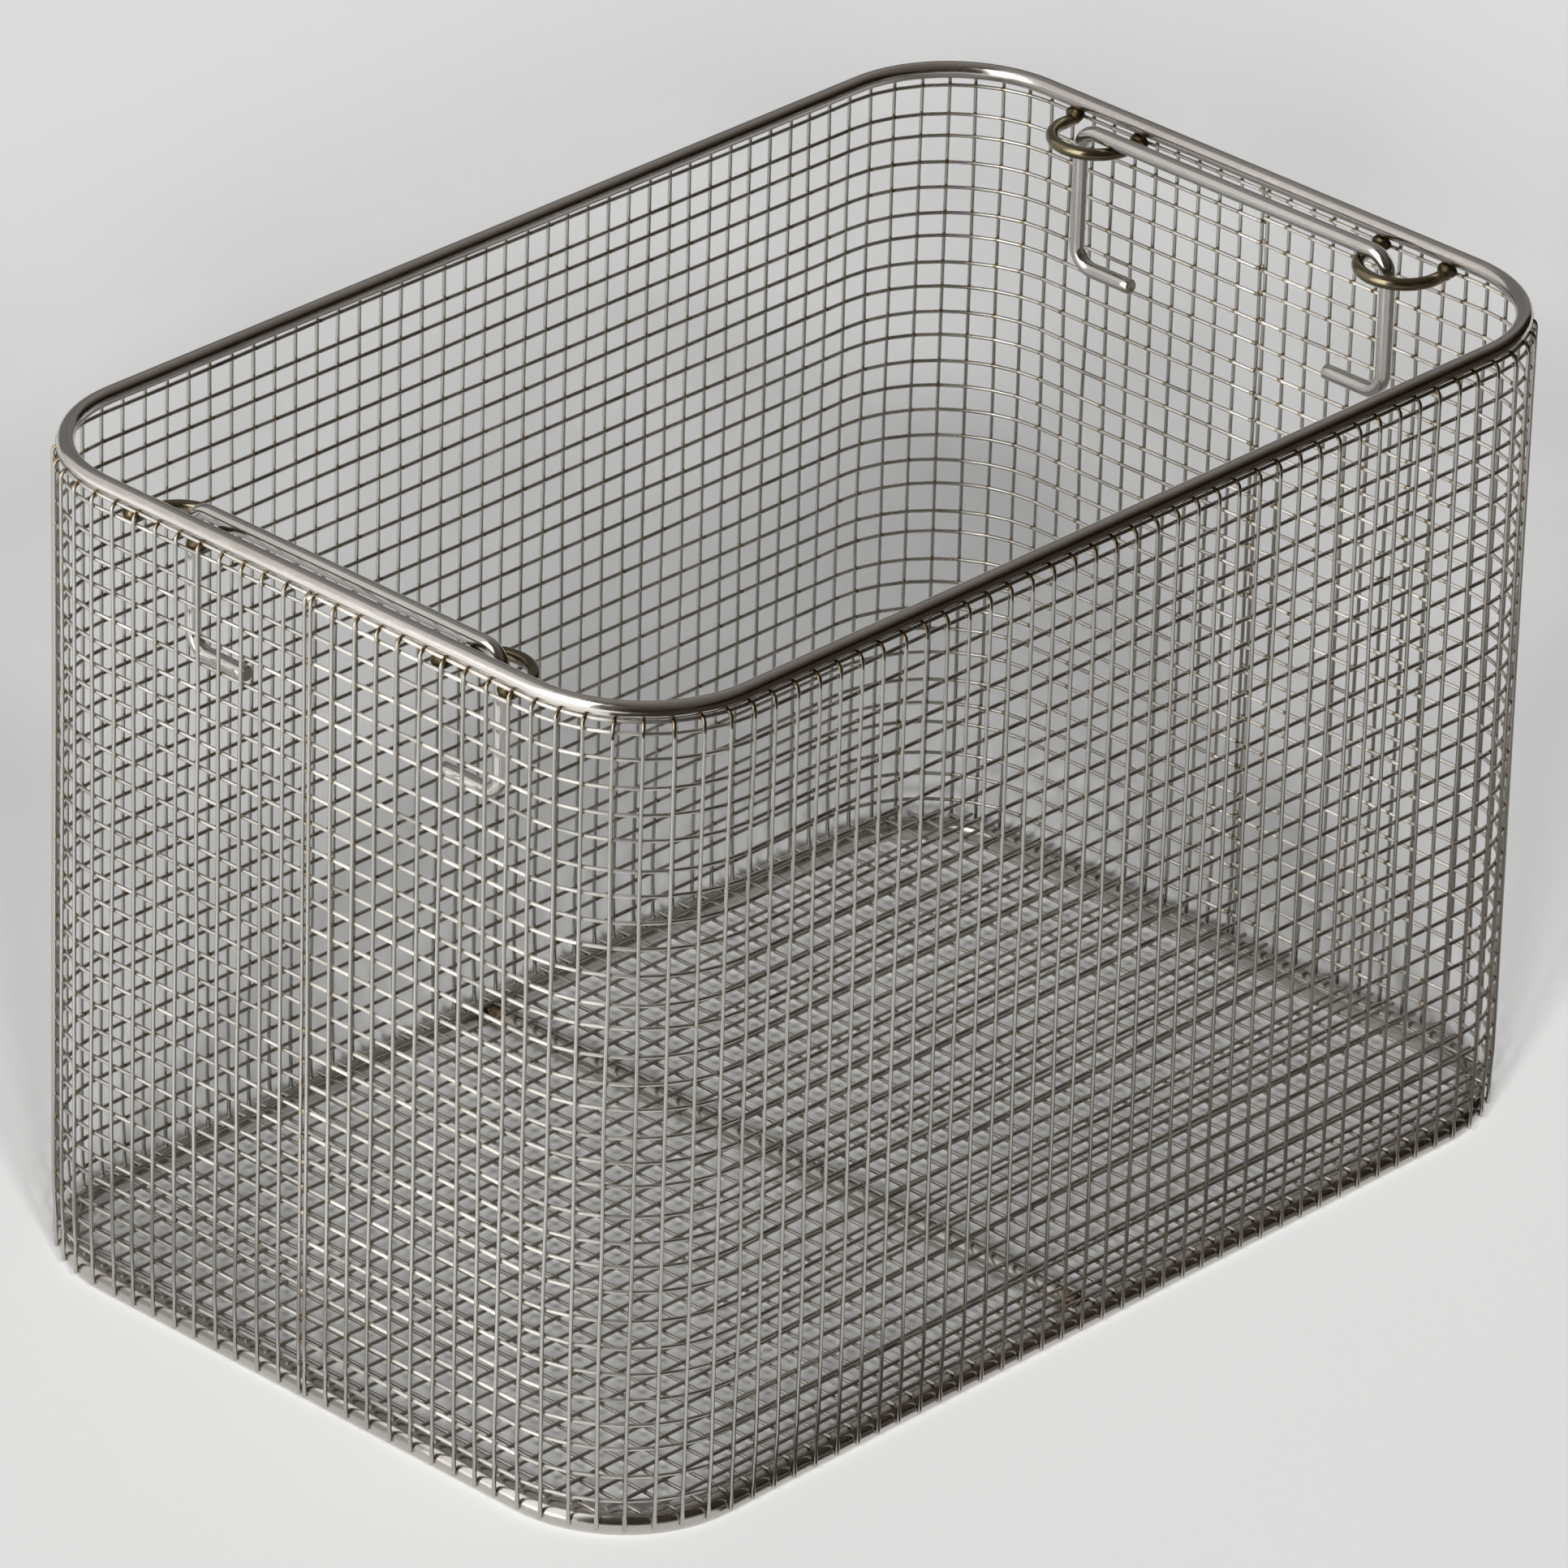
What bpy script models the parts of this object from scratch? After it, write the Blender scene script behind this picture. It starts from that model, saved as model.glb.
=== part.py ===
"""Deep sterilization basket of welded steel wire mesh with two drop-in lifting handles.

Two U-shaped sheets of welded mesh meet at the middle of both short sides. Their uprights are
hooked under a rim rod and run down over a base rod. A flat mesh floor lies on the base rod and on
a brace across its middle. Each handle is a bent wire whose legs slide up and down in two loops
under the rim, and whose turned-in feet catch under the loops when it is lifted.

Every mesh wire is here, at its full pitch. Wires that cross within a sheet lie a seat gap apart.
A sheet is one body because its uprights end in the wire of its top flange, and its level wires end
in its two end uprights. The floor is one body through its two middle wires.

Metres, +Z up. The origin is the middle of the footprint, on the surface that the basket stands on.
The long sides face -Y (front) and +Y (back), the short sides -X (left) and +X (right).
"""

import math

import bmesh
import bpy
from mathutils import Vector

# Size over the outer faces of the mesh, and from the foot of the base rod to the top of the rim
LENGTH = 0.268
WIDTH = 0.175
HEIGHT = 0.178
CORNER_RADIUS = 0.030

# Round stock, as diameters
MESH_WIRE = 0.0008
RIM_ROD = 0.0035
BASE_ROD = 0.005
BRACE_ROD = 0.005
HANDLE_WIRE = 0.0032
LOOP_WIRE = 0.0026

# Clear space left between pieces that are welded to each other or rest on each other
SEAT_GAP = 0.0003

# Mesh
UPRIGHT_PITCH = 0.00576
LEVEL_PITCH = 0.00562
FLOOR_PITCH = 0.00576
SEAM_SPACING = 0.0015       # between the end uprights of the two sheets
FLANGE_REACH = 0.0024       # from the uprights' axes in to the flange wire, under the rim rod
HOOK_BEND = 0.0005          # an upright turns into its hook over this height
WELD_SINK = 0.00015         # how deep two crossing wires are welded into each other
WELD_NECK = 0.9             # a weld draws a wire's end down to this share of its thickness
FOOT_HEIGHT = 0.0020        # an upright's cut end above the ground
LOWEST_LEVEL_RISE = 0.0011  # clear height between the floor mesh and the lowest level wire
HIGHEST_LEVEL_DROP = 0.0012 # clear height between the hooks and the highest level wire
FLOOR_EDGE_INSET = 0.0018   # from the uprights' axes to the floor wires' cut ends

# Handles and their loops
HANDLE_SPAN = 0.083         # between the two legs, before they line up with an upright
HANDLE_DROP = 0.0302        # from the bar's axis down to the feet's axes
HANDLE_FOOT = 0.015         # from a leg's axis to the tip of its foot
HANDLE_BEND = 0.0045        # bend radius on the axis
HANDLE_INSET = 0.0101       # from the uprights' axes to the handle's plane
LOOP_REACH = 0.0148         # from the uprights' axes to the axis of a loop's round end
LOOP_PITCHES = 3            # upright pitches between the two arms of a loop

# Facets
MESH_WIRE_SIDES = 4
ROD_SIDES = 10
HANDLE_SIDES = 8
SHEET_CORNER_POINTS = 4
ROD_CORNER_STEPS = 6
HANDLE_BEND_STEPS = 4
LOOP_END_STEPS = 8

QUARTER_TURN = math.pi / 2

# Colour and roughness of the bare steel of each kind of stock
RIM_STEEL = ((0.55, 0.52, 0.48), 0.22)
BASE_STEEL = ((0.50, 0.47, 0.44), 0.26)
BRACE_STEEL = ((0.56, 0.55, 0.53), 0.24)
SHEET_STEEL = ((0.62, 0.61, 0.57), 0.30)
FLOOR_STEEL = ((0.55, 0.55, 0.53), 0.34)
HANDLE_STEEL = ((0.66, 0.65, 0.62), 0.20)
LOOP_STEEL = ((0.56, 0.46, 0.33), 0.28)


def corner_distance(diameter, sides):
    """From the axis to the corners of the regular polygon that has a round wire's area."""
    return diameter / 2 * math.sqrt(2 * math.pi / (sides * math.sin(2 * math.pi / sides)))


def flat_distance(diameter, sides):
    """From the axis to the flats of that polygon."""
    return corner_distance(diameter, sides) * math.cos(math.pi / sides)


# From each section's axis to its flats, and to its corners
MESH_HALF = flat_distance(MESH_WIRE, MESH_WIRE_SIDES)
MESH_CORNER = corner_distance(MESH_WIRE, MESH_WIRE_SIDES)
RIM_HALF = flat_distance(RIM_ROD, ROD_SIDES)
RIM_CORNER = corner_distance(RIM_ROD, ROD_SIDES)
BASE_HALF = flat_distance(BASE_ROD, ROD_SIDES)
BASE_CORNER = corner_distance(BASE_ROD, ROD_SIDES)
BRACE_HALF = flat_distance(BRACE_ROD, ROD_SIDES)
HANDLE_HALF = flat_distance(HANDLE_WIRE, HANDLE_SIDES)
LOOP_HALF = flat_distance(LOOP_WIRE, HANDLE_SIDES)

# Plan, measured on the uprights' axes. An inset is a distance in from that outline.
HALF_LENGTH = LENGTH / 2 - MESH_HALF
HALF_WIDTH = WIDTH / 2 - MESH_HALF
AXIS_CORNER_RADIUS = CORNER_RADIUS - MESH_HALF
LEVEL_INSET = 2 * MESH_HALF + SEAT_GAP
RIM_INSET = MESH_HALF + SEAT_GAP + RIM_CORNER
BASE_INSET = MESH_HALF + SEAT_GAP + BASE_CORNER

# Heights of the axes
RIM_Z = HEIGHT - RIM_HALF
FLANGE_Z = RIM_Z - RIM_HALF - SEAT_GAP - MESH_HALF
TOP_LEVEL_Z = FLANGE_Z - 2 * MESH_HALF - HIGHEST_LEVEL_DROP
BASE_Z = BASE_HALF
BRACE_Z = 2 * BASE_HALF - BRACE_HALF
CROSS_WIRE_Z = 2 * BASE_HALF + SEAT_GAP + MESH_HALF
LONG_WIRE_Z = CROSS_WIRE_Z + 2 * MESH_HALF + SEAT_GAP
BOTTOM_LEVEL_Z = LONG_WIRE_Z + LOWEST_LEVEL_RISE + 2 * MESH_HALF
LOOP_Z = FLANGE_Z - MESH_HALF - SEAT_GAP - LOOP_HALF
HANDLE_BAR_Z = LOOP_Z + LOOP_HALF + SEAT_GAP + HANDLE_HALF

LEVEL_SPACES = round((TOP_LEVEL_Z - BOTTOM_LEVEL_Z) / LEVEL_PITCH)
LEVEL_STEP = (TOP_LEVEL_Z - BOTTOM_LEVEL_Z) / LEVEL_SPACES


def sheet_corner(quarter, inset):
    """Corner points whose chords touch the corner's arc, so the sheet stays clear of the rods.

    Quarter 0 is the front right corner, and they run anticlockwise.
    """
    side_x = 1 if quarter in (0, 1) else -1
    side_y = 1 if quarter in (1, 2) else -1
    centre = Vector((side_x * (HALF_LENGTH - AXIS_CORNER_RADIUS),
                     side_y * (HALF_WIDTH - AXIS_CORNER_RADIUS)))
    step = QUARTER_TURN / SHEET_CORNER_POINTS
    radius = (AXIS_CORNER_RADIUS - inset) / math.cos(step / 2)
    points = []
    for number in range(SHEET_CORNER_POINTS):
        angle = (quarter - 1) * QUARTER_TURN + (number + 0.5) * step
        points.append(centre + radius * Vector((math.cos(angle), math.sin(angle))))
    return points


def half_outline():
    """The front sheet in plan, from the middle of the long side to its right end upright."""
    return ([Vector((0.0, -HALF_WIDTH))] + sheet_corner(0, 0.0)
            + [Vector((HALF_LENGTH, -SEAM_SPACING / 2))])


def outline_length(points):
    return sum((end - start).length for start, end in zip(points, points[1:]))


def walk(points, run):
    """The place that lies a run along an outline, and the inward direction there."""
    for start, end in zip(points, points[1:]):
        length = (end - start).length
        along = (end - start) / length
        place = start + run * along
        if run <= length:
            break
        run -= length
    return place, Vector((-along.y, along.x))


OUTLINE = half_outline()
UPRIGHTS_PER_HALF = round(outline_length(OUTLINE) / UPRIGHT_PITCH)
UPRIGHT_STEP = outline_length(OUTLINE) / UPRIGHTS_PER_HALF

# A handle's legs line up with an upright, so a loop's arms pass midway between uprights
LEG_UPRIGHT = round((HANDLE_SPAN - SEAM_SPACING) / 2 / UPRIGHT_STEP)
LEG_Y = SEAM_SPACING / 2 + LEG_UPRIGHT * UPRIGHT_STEP
HANDLE_X = HALF_LENGTH - HANDLE_INSET
LOOP_HALF_WIDTH = LOOP_PITCHES * UPRIGHT_STEP / 2
LOOP_START_INSET = LEVEL_INSET + MESH_CORNER + SEAT_GAP


def clear_scene():
    for item in list(bpy.data.objects):
        bpy.data.objects.remove(item)


def basket_collection():
    collection = bpy.data.collections.new("sterilization_basket")
    bpy.context.scene.collection.children.link(collection)
    return collection


def steel(name, finish):
    colour, roughness = finish
    material = bpy.data.materials.new(name + "_steel")
    material.use_nodes = True
    shader = material.node_tree.nodes["Principled BSDF"]
    shader.inputs["Base Color"].default_value = (*colour, 1.0)
    shader.inputs["Metallic"].default_value = 1.0
    shader.inputs["Roughness"].default_value = roughness
    return material


def wire_curve(collection, name, paths, diameter, sides, flats_up=True, closed=False,
               necks=(1.0, 1.0)):
    """One object of round stock that runs along each of the paths.

    The necks are the shares of the stock's thickness at the start and the end of a path.
    """
    curve = bpy.data.curves.new(name, "CURVE")
    curve.dimensions = "3D"
    curve.twist_mode = "MINIMUM"
    curve.bevel_depth = corner_distance(diameter, sides)
    curve.bevel_resolution = (sides - 4) // 2
    curve.use_fill_caps = True
    for path in paths:
        spline = curve.splines.new("POLY")
        spline.points.add(len(path) - 1)
        spline.use_cyclic_u = closed
        for point, place in zip(spline.points, path):
            point.co = (*place, 1.0)
            point.tilt = math.pi / sides if flats_up else 0.0
        spline.points[0].radius = necks[0]
        spline.points[-1].radius = necks[1]
    wire = bpy.data.objects.new(name, curve)
    collection.objects.link(wire)
    return wire


def solid_from(source):
    """The mesh of an object as it stands, with the loose caps of its wires joined on."""
    graph = bpy.context.evaluated_depsgraph_get()
    mesh = bpy.data.meshes.new_from_object(source.evaluated_get(graph))
    shape = bmesh.new()
    shape.from_mesh(mesh)
    bmesh.ops.remove_doubles(shape, verts=shape.verts, dist=1e-6)
    shape.to_mesh(mesh)
    shape.free()
    return mesh


def mesh_wires(collection, name, paths, necks=(1.0, 1.0)):
    """Mesh wires along the paths, as a mesh object that a Boolean can take."""
    curve = wire_curve(collection, name, paths, MESH_WIRE, MESH_WIRE_SIDES, necks=necks)
    wires = bpy.data.objects.new(name, solid_from(curve))
    bpy.data.objects.remove(curve)
    collection.objects.link(wires)
    return wires


def welded_mesh(base, *ties):
    """The mesh of the base wires once each set of tie wires is welded on in turn.

    The manifold solver keeps each weld closed. The exact one joins a wire's long side into one face
    with a hole at every weld, and such a face doesn't always cut up into clean triangles.
    """
    for tie in ties:
        weld = base.modifiers.new("weld_" + tie.name, "BOOLEAN")
        weld.operation = "UNION"
        weld.solver = "MANIFOLD"
        weld.object = tie
    mesh = solid_from(base)
    for wires in (base, *ties):
        bpy.data.objects.remove(wires)
    return mesh


def rod_corner(quarter, inset):
    """Points of a rod's axis round one corner, on the corner's arc."""
    side_x = 1 if quarter in (0, 1) else -1
    side_y = 1 if quarter in (1, 2) else -1
    centre = Vector((side_x * (HALF_LENGTH - AXIS_CORNER_RADIUS),
                     side_y * (HALF_WIDTH - AXIS_CORNER_RADIUS)))
    points = []
    for step in range(ROD_CORNER_STEPS + 1):
        angle = (quarter - 1 + step / ROD_CORNER_STEPS) * QUARTER_TURN
        points.append(centre + (AXIS_CORNER_RADIUS - inset)
                      * Vector((math.cos(angle), math.sin(angle))))
    return points


def rod_ring(collection, name, inset, z, diameter, finish):
    """A rod bent to the basket's outline and closed on itself."""
    plan = []
    for quarter in range(4):
        plan += rod_corner(quarter, inset)
    ring = wire_curve(collection, name, [[(p.x, p.y, 0.0) for p in plan]], diameter, ROD_SIDES,
                      flats_up=False, closed=True)
    ring.location.z = z
    ring.data.materials.append(steel(name, finish))


def floor_brace(collection):
    """A rod across the middle, between the long sides of the base rod."""
    reach = HALF_WIDTH - BASE_INSET - BASE_CORNER - SEAT_GAP
    path = [(0.0, -reach, 0.0), (0.0, reach, 0.0)]
    brace = wire_curve(collection, "floor_brace", [path], BRACE_ROD, ROD_SIDES, flats_up=False)
    brace.location.z = BRACE_Z
    brace.data.materials.append(steel("floor_brace", BRACE_STEEL))


def placed(side, point, inward, profile):
    """A profile of insets and heights, stood at a place of the outline."""
    path = []
    for inset, height in profile:
        place = point + inset * inward
        path.append((side * place.x, place.y, height))
    return path


def hooked_uprights():
    """The uprights between the two end ones, each hooked in to the flange wire."""
    profile = [
        (0.0, FOOT_HEIGHT),
        (0.0, FLANGE_Z - HOOK_BEND),
        (HOOK_BEND, FLANGE_Z),
        (FLANGE_REACH, FLANGE_Z),
    ]
    paths = []
    for number in range(1 - UPRIGHTS_PER_HALF, UPRIGHTS_PER_HALF):
        point, inward = walk(OUTLINE, abs(number) * UPRIGHT_STEP)
        paths.append(placed(1 if number > 0 else -1, point, inward, profile))
    return paths


def end_uprights():
    """The two end uprights. They take the level wires' ends and step out over the base rod."""
    profile = [
        (0.0, FOOT_HEIGHT),
        (0.0, 2 * BASE_HALF + SEAT_GAP),
        (LEVEL_INSET, BOTTOM_LEVEL_Z - 2 * MESH_HALF),
        (LEVEL_INSET, FLANGE_Z - HOOK_BEND),
        (LEVEL_INSET + HOOK_BEND, FLANGE_Z),
        (FLANGE_REACH, FLANGE_Z),
    ]
    point, inward = walk(OUTLINE, outline_length(OUTLINE))
    return [placed(side, point, inward, profile) for side in (-1, 1)]


def sheet_wire(inset, z, end_y):
    """A level wire of the front sheet, bent round both front corners."""
    side = HALF_LENGTH - inset
    plan = ([Vector((-side, end_y))] + sheet_corner(3, inset) + sheet_corner(0, inset)
            + [Vector((side, end_y))])
    return [(point.x, point.y, z) for point in plan]


def level_wires():
    paths = []
    for number in range(LEVEL_SPACES + 1):
        z = TOP_LEVEL_Z - number * LEVEL_STEP
        paths.append(sheet_wire(LEVEL_INSET, z, -SEAM_SPACING / 2))
    return paths


def mesh_sheets(collection):
    """The front sheet, and the same sheet turned half round as the back one."""
    uprights = mesh_wires(collection, "uprights", hooked_uprights(), necks=(1.0, WELD_NECK))
    flange_end = MESH_CORNER - SEAM_SPACING / 2
    flange = mesh_wires(collection, "flange", [sheet_wire(FLANGE_REACH, FLANGE_Z, flange_end)])
    ends = mesh_wires(collection, "ends", end_uprights(), necks=(1.0, WELD_NECK))
    levels = mesh_wires(collection, "levels", level_wires(), necks=(WELD_NECK, WELD_NECK))
    mesh = welded_mesh(uprights, flange, ends, levels)
    mesh.name = "mesh_sheet"
    mesh.materials.append(steel("mesh_sheet", SHEET_STEEL))
    for name, turn in (("front_mesh_sheet", 0.0), ("back_mesh_sheet", math.pi)):
        sheet = bpy.data.objects.new(name, mesh)
        sheet.rotation_euler.z = turn
        collection.objects.link(sheet)


def floor_reach(offset, half_across, half_along):
    """Half the length of a floor wire that lies at an offset, inside the rounded outline."""
    radius = AXIS_CORNER_RADIUS - FLOOR_EDGE_INSET
    edge = half_across - FLOOR_EDGE_INSET
    into_corner = abs(offset) - (half_along - AXIS_CORNER_RADIUS)
    if into_corner <= 0:
        return edge
    return edge - radius + math.sqrt(radius ** 2 - into_corner ** 2)


def floor_wire(offset, z, lengthwise):
    if lengthwise:
        reach = floor_reach(offset, HALF_LENGTH, HALF_WIDTH)
        return [(-reach, offset, z), (reach, offset, z)]
    reach = floor_reach(offset, HALF_WIDTH, HALF_LENGTH)
    return [(offset, -reach, z), (offset, reach, z)]


def floor_offsets(half_along):
    """Places of the floor wires to both sides of the middle one, as far as the base rod."""
    count = math.floor((half_along - BASE_INSET) / FLOOR_PITCH)
    return [side * number * FLOOR_PITCH for number in range(1, count + 1) for side in (-1, 1)]


def floor_mesh(collection):
    """Cross wires below, long wires above, and a middle wire of each kind welded to the others."""
    paths = [floor_wire(x, CROSS_WIRE_Z, False) for x in floor_offsets(HALF_LENGTH)]
    paths += [floor_wire(y, LONG_WIRE_Z, True) for y in floor_offsets(HALF_WIDTH)]
    wires = mesh_wires(collection, "floor_wires", paths)
    welded_rise = 2 * MESH_HALF - WELD_SINK
    middle_long = floor_wire(0.0, CROSS_WIRE_Z + welded_rise, True)
    middle_cross = floor_wire(0.0, LONG_WIRE_Z - welded_rise, False)
    mesh = welded_mesh(wires, mesh_wires(collection, "middle_long_wire", [middle_long]),
                       mesh_wires(collection, "middle_cross_wire", [middle_cross]))
    mesh.name = "floor_mesh"
    mesh.materials.append(steel("floor_mesh", FLOOR_STEEL))
    collection.objects.link(bpy.data.objects.new("floor_mesh", mesh))


def bend(corner, start, end):
    """Points of the arc that rounds a corner between two directions of travel."""
    centre = corner - HANDLE_BEND * start + HANDLE_BEND * end
    points = []
    for step in range(HANDLE_BEND_STEPS + 1):
        angle = step / HANDLE_BEND_STEPS * QUARTER_TURN
        points.append(centre - HANDLE_BEND * math.cos(angle) * end
                      + HANDLE_BEND * math.sin(angle) * start)
    return points


def handles(collection):
    """Two bent wires: a bar, two legs, and feet that point at each other."""
    up = Vector((0.0, 0.0, 1.0))
    across = Vector((0.0, 1.0, 0.0))
    low = -HANDLE_DROP * up
    path = [low - (LEG_Y - HANDLE_FOOT) * across]
    path += bend(low - LEG_Y * across, -across, up)
    path += bend(-LEG_Y * across, up, across)
    path += bend(LEG_Y * across, across, -up)
    path += bend(low + LEG_Y * across, -up, -across)
    path.append(low + (LEG_Y - HANDLE_FOOT) * across)
    for name, side in (("handle_left", -1), ("handle_right", 1)):
        handle = wire_curve(collection, name, [path], HANDLE_WIRE, HANDLE_SIDES)
        handle.location = (side * HANDLE_X, 0.0, HANDLE_BAR_Z)
        handle.data.materials.append(steel(name, HANDLE_STEEL))


def handle_loops(collection):
    """Four U-shaped loops under the hooks and the flange wire, each open towards its short wall."""
    arm = LOOP_REACH - LOOP_HALF_WIDTH - LOOP_START_INSET
    path = [Vector((0.0, -LOOP_HALF_WIDTH, 0.0))]
    for step in range(LOOP_END_STEPS + 1):
        angle = step / LOOP_END_STEPS * math.pi - QUARTER_TURN
        path.append(Vector((arm + LOOP_HALF_WIDTH * math.cos(angle),
                            LOOP_HALF_WIDTH * math.sin(angle), 0.0)))
    path.append(Vector((0.0, LOOP_HALF_WIDTH, 0.0)))
    for end_name, end_side in (("left", -1), ("right", 1)):
        for side_name, y in (("front", -LEG_Y), ("back", LEG_Y)):
            name = "handle_loop_" + end_name + "_" + side_name
            loop = wire_curve(collection, name, [path], LOOP_WIRE, HANDLE_SIDES)
            loop.location = (end_side * (HALF_LENGTH - LOOP_START_INSET), y, LOOP_Z)
            loop.rotation_euler.z = math.pi if end_side > 0 else 0.0
            loop.data.materials.append(steel(name, LOOP_STEEL))


def build():
    clear_scene()
    collection = basket_collection()
    rod_ring(collection, "rim_rod", RIM_INSET, RIM_Z, RIM_ROD, RIM_STEEL)
    rod_ring(collection, "base_rod", BASE_INSET, BASE_Z, BASE_ROD, BASE_STEEL)
    floor_brace(collection)
    floor_mesh(collection)
    mesh_sheets(collection)
    handles(collection)
    handle_loops(collection)


build()
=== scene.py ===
"""Stage and visual model of a deep sterilization basket of welded steel wire mesh.

Every wire is swept round along its own path, with small bends of its own, and carries the values
that its steel reads: how near a weld is, which at the mesh crossings also paints their contact
shade; where along and around the stock a point lies; a tone, which on one pitch is a painted
highlight; and how satin it is, a satin wire also being painted paler as a painted sheen.

Metres, +Z up. The long sides face -Y (front) and +Y (back), the short sides -X and +X.
"""

import math

import bpy
import numpy as np
from mathutils import Matrix, Vector


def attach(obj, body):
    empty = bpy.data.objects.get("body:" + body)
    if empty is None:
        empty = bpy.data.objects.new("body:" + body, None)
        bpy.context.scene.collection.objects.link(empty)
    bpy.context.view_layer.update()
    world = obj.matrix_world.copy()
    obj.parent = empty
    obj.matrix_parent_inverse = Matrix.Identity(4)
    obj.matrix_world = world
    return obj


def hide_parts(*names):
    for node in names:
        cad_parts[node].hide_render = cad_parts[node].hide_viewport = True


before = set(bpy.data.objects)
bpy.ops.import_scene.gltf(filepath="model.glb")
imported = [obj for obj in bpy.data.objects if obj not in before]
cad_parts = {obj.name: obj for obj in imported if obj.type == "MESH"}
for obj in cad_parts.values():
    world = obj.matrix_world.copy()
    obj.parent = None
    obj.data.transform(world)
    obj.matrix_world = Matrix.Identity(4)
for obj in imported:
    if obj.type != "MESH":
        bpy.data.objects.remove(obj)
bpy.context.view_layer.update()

rng = np.random.default_rng(41)
UP = np.array((0.0, 0.0, 1.0))

# Plan of the uprights' axes
SIDE_X = 0.1336
SIDE_Y = 0.0871
CORNER = 0.0296
STRAIGHT_X = SIDE_X - CORNER
STRAIGHT_Y = SIDE_Y - CORNER
SEAM_Y = 0.00075             # half the space between the two end uprights
UPRIGHT_STEP = 0.0057757
UPRIGHTS_PER_HALF = 36
CORNER_RUN = UPRIGHTS_PER_HALF * UPRIGHT_STEP - STRAIGHT_X - STRAIGHT_Y + SEAM_Y
END_RUN = UPRIGHTS_PER_HALF * UPRIGHT_STEP

# Round stock, as radii
MESH_R = 0.0004
RIM_R = 0.00175
BASE_R = 0.0025
HANDLE_R = 0.0016
LOOP_R = 0.0013

# Heights and insets from the uprights' axes
RIM_Z = 0.17625
BASE_Z = 0.0025
RIM_INSET = 0.00246
BASE_INSET = 0.00319
FLANGE_Z = 0.17435
FLANGE_INSET = 0.0013
LEVEL_INSET = 0.0007
LOWEST_LEVEL = 0.008389
HIGHEST_LEVEL = 0.171995
LEVELS = 30
FOOT_Z = 0.0020
FOOT_LEAN = 0.00036          # an upright's foot leans in to the base rod by this much
CROSS_Z = 0.00536
LONG_Z = 0.00606
FLOOR_PITCH = 0.00576
FLOOR_EDGE_INSET = 0.0018

# Handles and loops
HANDLE_X = 0.123546
BAR_Z = 0.175107
FEET_Z = 0.144907
LEG_Y = 0.04118
FOOT_TIP_Y = 0.02618
HANDLE_BEND = 0.0045
LOOP_Z = 0.171984
LOOP_HALF = 0.008664
LOOP_FAR_INSET = 0.01475
LOOP_NEAR_INSET = 0.0018

# Mesh sheets: how far wires stray, and the waves that they stray in
SPOT_REACH = 0.0009          # the tint of a mesh weld fades out over this length of wire
LEVEL_SCATTER = 0.00032
LEAN_SCATTER = 0.00013
SWAY_SCATTER = 0.00009
SWAY_WAVES = (0.021, 0.0093)
DIP_SCATTER = 0.00013
DIP_WAVES = (0.031, 0.0135)
DENT_DEPTH = 0.00028
DENT_WAVES = (0.043, 0.037)
END_STRAY = 0.3              # share of the stray that the end uprights keep, so the seam closes
SETTLE_TOP = 0.016           # below this height the mesh leans in to the base rod
SETTLE_LENGTH = 0.010
CROSSING_HEAT_AND_SHADE = (0.40, 0.50)  # least weld tint and painted contact shade of a crossing, and how much more it may have
UPRIGHT_HEAT_AND_SHADE = 0.4           # share of that tint and painted shade on the upright
FLANGE_HEAT = (0.1, 0.4)     # between and at the uprights
FLANGE_REACH = 0.0016
LEVEL_END = 0.0004           # a level wire's ends stand past the end uprights by this much
FLANGE_END = 0.0002

# An upright's foot and hook, from its lower end to its tip
FOOT_HEIGHTS = (FOOT_Z, FOOT_Z + 0.0002, 0.0034, 0.0044, 0.0053, 0.0065)
FOOT_LEANS = (FOOT_LEAN,) * 5 + (0.8 * FOOT_LEAN,)
FOOT_HEAT = (0.05, 0.1, 0.2, 0.15, 0.05, 0.0)
FOOT_RADII = (0.82 * MESH_R, 1.02 * MESH_R, 1.16 * MESH_R, 1.12 * MESH_R, MESH_R, MESH_R)
HOOK_INSETS = (0.00000, 0.00008, 0.00026, 0.00056, 0.00092, 0.00130, 0.00165)
HOOK_HEIGHTS = (0.17275, 0.17335, 0.17382, 0.17418, 0.17438, 0.17446, 0.17448)
HOOK_HEAT = (0.05, 0.3, 0.6, 0.9, 1.0, 0.9, 0.7)
HOOK_END_RADII = (1.3 * MESH_R, 0.9 * MESH_R)

# Looks of the level wires
PITCH_TONE = 2.8             # how much the tone strays from one pitch to the next
SEAM_PAINTED_HIGHLIGHT = 14.0             # painted highlight: the back sheet's pitch next to the right seam gets this high tone, so it is painted much paler
FRONT_SATIN_AND_SHEEN = 1.0            # how satin each sheet's level wires are on the short walls, which also paints them paler there as a painted sheen
BACK_SATIN_AND_SHEEN = 0.35

# Weld beads, as half sizes
SEAM_BEAD = (0.00038, 0.0006)
SEAM_BEAD_TALL = (0.0004, 0.0008)
SEAM_BEAD_INSET = 0.00015
SEAM_BEAD_SCATTER = (0.0001, 0.0005)  # across the seam and up
SEAM_BEAD_HEAT = (0.5, 0.95)
SEAM_BEAD_MISSING = 0.12     # share of the crossings that have none
FLANGE_BEAD = (0.0009, 0.0013, 0.0009)
FLANGE_BEAD_INSET = 0.0009
FLANGE_BEAD_DROP = 0.0004
FLANGE_BEAD_HEAT = 0.15
BRACE_BEAD = (0.0013, 0.0016, 0.0019)
BRACE_BEAD_X = 0.0028
BRACE_BEAD_INSET = 0.0002
BRACE_BEAD_HEAT = 0.9
LOOP_BEAD = (0.0016, 0.0021, 0.0017)
LOOP_BEAD_RISE = 0.0008
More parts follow.
